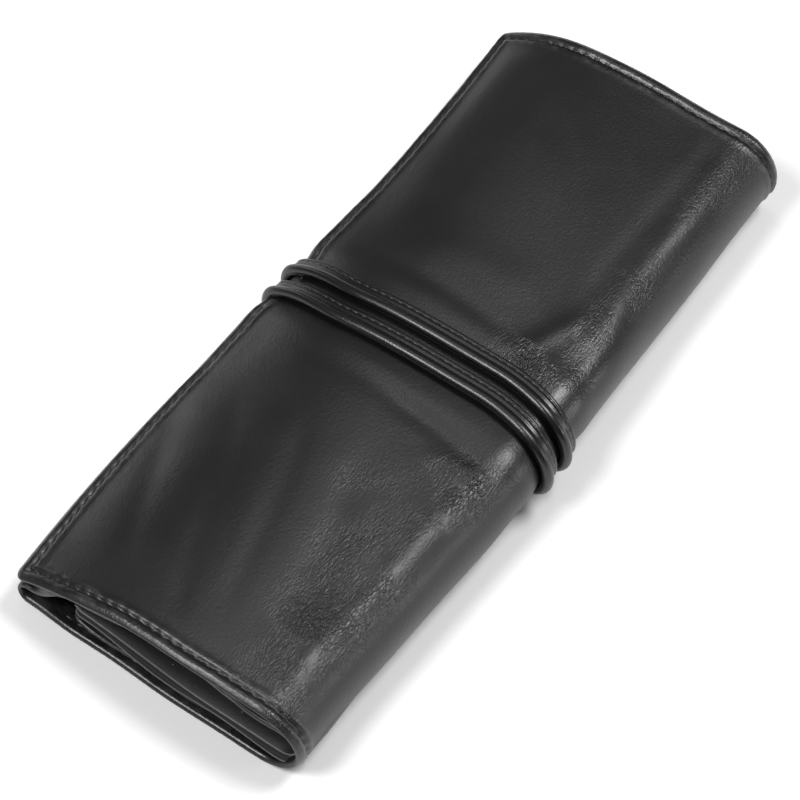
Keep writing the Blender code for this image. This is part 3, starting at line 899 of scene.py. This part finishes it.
def hem_wear_and_painted_sheen(material):
    """Makes the two ridges along a hem smoother and specked with a lighter tone, partly real scuffing and
    partly a painted highlight for the sheen the ridges catch.
    """
    n = Nodes(material)
    place = n.add("ShaderNodeTexCoord").outputs["Object"]
    d = n.add("ShaderNodeAttribute", attribute_name="edge").outputs["Fac"]
    outer = n.math("MULTIPLY", n.span(d, 0.3, 1.2), n.span(d, 2.9, 2.2))
    inner = n.math("MULTIPLY", n.span(d, 3.7, 4.3), n.span(d, 5.6, 4.9))
    ridges = n.math("ADD", outer, inner)
    rough = n.shader.inputs["Roughness"]
    n.link(n.math("SUBTRACT", rough.links[0].from_socket, n.math("MULTIPLY", ridges, 0.07)), rough)
    speck = n.add("ShaderNodeTexNoise", {"Vector": place}, Scale=260.0, Detail=5.0)
    # lighter specks on the hem ridges: part scuff wear, part painted highlight
    n.tint(n.math("MULTIPLY", ridges, n.span(speck.outputs[0], 0.44, 0.66)), (0.021, 0.018, 0.02))


def paint_cut_edge_glint(material):
    """Paints a paler tone along a sheet's cut edges: a painted highlight standing in for the glint those
    edges catch.
    """
    n = Nodes(material)
    # painted highlight: a paler tone for the glint along the cut edges
    n.tint(n.add("ShaderNodeAttribute", attribute_name="cut").outputs["Fac"], (0.13, 0.125, 0.125))


def cloth_material():
    """Fine plain-woven polyester."""
    material = new_material("black_lining_cloth", (0.009, 0.009, 0.0095), 0.75)
    n = Nodes(material)
    place = n.add("ShaderNodeTexCoord").outputs["Object"]
    weave = []
    for direction in ("X", "Y"):
        wave = n.add("ShaderNodeTexWave", {"Vector": place}, Scale=420.0, bands_direction=direction)
        weave.append(wave.outputs["Fac"])
    relief = n.add("ShaderNodeBump", {"Height": n.math("MULTIPLY", *weave)}, Strength=0.4, Distance=0.0002)
    n.link(relief.outputs[0], n.shader.inputs["Normal"])
    return material


# ---------------------------------------------------------------- stage


def stage():
    """A pale floor that runs out of view, and soft studio light."""
    mesh = bpy.data.meshes.new("floor")
    mesh.from_pydata([(-4, -4, 0), (4, -4, 0), (4, 4, 0), (-4, 4, 0)], [], [(0, 1, 2, 3)])
    floor = bpy.data.objects.new("floor", mesh)
    bpy.context.scene.collection.objects.link(floor)
    floor.location.z = -0.0002
    pale = new_material("floor_pale", (0.86, 0.86, 0.87), 0.7)
    mesh.materials.append(pale)

    bpy.context.scene.view_settings.view_transform = "Standard"
    world = bpy.data.worlds.new("studio")
    world.use_nodes = True
    nodes, links = world.node_tree.nodes, world.node_tree.links
    back = nodes["Background"]
    back.inputs["Strength"].default_value = 1.0
    # darker towards the horizon, as a room is beside a light tent, but plain white to look at
    direction = nodes.new("ShaderNodeTexCoord")
    parts = nodes.new("ShaderNodeSeparateXYZ")
    links.new(direction.outputs["Generated"], parts.inputs[0])
    rise = nodes.new("ShaderNodeMapRange")
    rise.interpolation_type = "SMOOTHSTEP"
    rise.inputs[1].default_value, rise.inputs[2].default_value = 0.05, 0.85
    rise.inputs[3].default_value, rise.inputs[4].default_value = 0.10, 0.23
    links.new(parts.outputs["Z"], rise.inputs[0])
    seen = nodes.new("ShaderNodeLightPath")
    bright = nodes.new("ShaderNodeMath")
    bright.operation = "MAXIMUM"
    links.new(rise.outputs[0], bright.inputs[0])
    links.new(seen.outputs["Is Camera Ray"], bright.inputs[1])
    links.new(bright.outputs[0], back.inputs["Color"])
    bpy.context.scene.world = world

    for name, place, size, power in (
        ("right_back", (0.36, 0.38, 1.10), 0.45, 10.0),
        ("left_front", (-0.35, -0.60, 1.00), 0.50, 11.0),
        ("left_back", (-0.30, 0.24, 0.95), 0.25, 0.45),
        ("left_side", (-1.10, 0.35, 0.25), 0.25, 0.5),
        ("right_side", (0.95, 0.36, 0.30), 0.30, 1.8),
    ):
        light = bpy.data.lights.new(name, "AREA")
        light.shape = "DISK"
        light.size = size
        light.energy = power
        lamp = bpy.data.objects.new(name, light)
        lamp.location = place
        lamp.rotation_euler = (Vector((0, 0, 0.01)) - Vector(place)).to_track_quat("-Z", "Y").to_euler()
        bpy.context.scene.collection.objects.link(lamp)


def camera():
    """A long lens above the near right, so the far end looks hardly smaller than the near one."""
    azimuth, elevation, roll = radians(32.5), radians(57.1), radians(3.0)
    distance, target = 0.766, Vector((0.0, 0.0, 0.0125))
    away = Vector((sin(azimuth) * cos(elevation), -cos(azimuth) * cos(elevation), sin(elevation)))
    right = (-away).cross(Vector((0, 0, 1))).normalized()
    up = right.cross(-away)
    target += right * -0.0034 + up * -0.0078
    right, up = right * cos(roll) + up * sin(roll), up * cos(roll) - right * sin(roll)
    lens = bpy.data.cameras.new("camera")
    lens.lens, lens.sensor_width = 138.5, 36.0
    lens.clip_end = 20
    eye = bpy.data.objects.new("camera", lens)
    eye.matrix_world = Matrix.Translation(target + away * distance) @ Matrix(
        [(right[i], up[i], away[i], 0) for i in range(3)] + [(0, 0, 0, 1)]
    )
    bpy.context.scene.collection.objects.link(eye)
    bpy.context.scene.camera = eye


def declare_sheet():
    """Reads the section's marks at mid-length, and does nothing more."""
    marks = section(0.0)[3]


def covers(leather, thread):
    """The cover sheet in four pieces, which meet where the body changes, with its top-stitching."""
    stitches = hem_stitches()
    replaced = {
        "lip": (["cover_lip"], ["lip_hem_thread"]),
        "flap": (["cover_flap"], ["flap_hem_thread_near", "flap_hem_thread_far"]),
        "base": (["cover_base", "cover_spine"], ["spine_hem_thread_near", "spine_hem_thread_far"]),
        "core": (["cover_left_fold", "cover_second_leaf", "cover_inner_fold", "cover_third_leaf"], []),
    }
    for run, (start, end, opens) in RUNS.items():
        front = inner_relief if run == "core" else outer_relief
        piece = cover_piece(f"cover_{run}_sheet", start, end, opens, leather, front)
        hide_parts(*replaced[run][0])
        bend_with(piece, run)
        declare_sheet()
        if run in stitches:
            rows = stitch_piece(f"{run}_stitches", stitches[run], thread)
            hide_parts(*replaced[run][1])
            bend_with(rows, run)


def linings(cloth):
    """The lining, in the same four runs as the cover."""
    ends = (-HALF + LINING_INSET, HALF - LINING_INSET)
    nodes = {"lip": "lining_lip", "flap": "lining_flap", "base": "lining_spine", "core": "lining_case"}
    for run, (start, end, opens) in RUNS.items():
        piece = layer_piece(f"lining_{run}_sheet", start, end, LINING_DEPTH, LINING_THICK, ends,
                            cloth, opens, lining_spread)
        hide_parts(nodes[run])
        bend_with(piece, run)
        declare_sheet()


def pockets(leather, thread):
    """The pocket panel at the near end and the tip guard at the far end, with the pockets' seams."""
    near, far = -HALF + PANEL_INSET, HALF - PANEL_INSET
    depth = PANEL_DEPTH + PANEL_THICK
    for name, span in (("pocket_panel", (near, PANEL_MOUTH_Y)), ("tip_guard", (GUARD_MOUTH_Y, far))):
        piece = layer_piece(f"{name}_sheet", "second_leaf", "inner_end", PANEL_DEPTH, PANEL_THICK,
                            span, leather, (False, False))
        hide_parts(name)
        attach(piece, "case")
        declare_sheet()
    for k, share in enumerate(np.linspace(*SEAM_SHARES, SEAM_COUNT)):
        points, normals = [], []
        for y in even_rows(near + SEAM_END_GAP, PANEL_MOUTH_Y - SEAM_END_GAP, 3.0):
            marks = section(y)[3]
            s = mix(marks["second_leaf"], marks["inner_end"], share)
            point, normal = skin_point(s, y, 0.05 - depth)
            points.append(point)
            normals.append(-normal)
        seam = stitch_piece(f"pocket_seam_stitches_{k + 1}", stitch_row(points, normals, STITCH_PITCH),
                            thread)
        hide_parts(f"pocket_seam_{k + 1}")
        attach(seam, "case")


def build():
    stage()
    camera()
    black = (0.004, 0.004, 0.0044)
    leather = leather_material("black_leather", black, 0.38, 0.18)
    strap_leather = leather_material("black_strap_leather", (0.0015, 0.0015, 0.0017), 0.33, 0.05)
    panel_leather = leather_material("black_panel_leather", (0.006, 0.006, 0.0065), 0.5, 0.08)
    cloth = cloth_material()
    hem_wear_and_painted_sheen(leather)
    paint_cut_edge_glint(panel_leather)
    paint_cut_edge_glint(cloth)
    thread = new_material("black_thread", (0.022, 0.021, 0.022), 0.4)
    covers(leather, thread)
    linings(cloth)
    pockets(panel_leather, thread)
    strap_pieces(strap_leather, thread)


build()
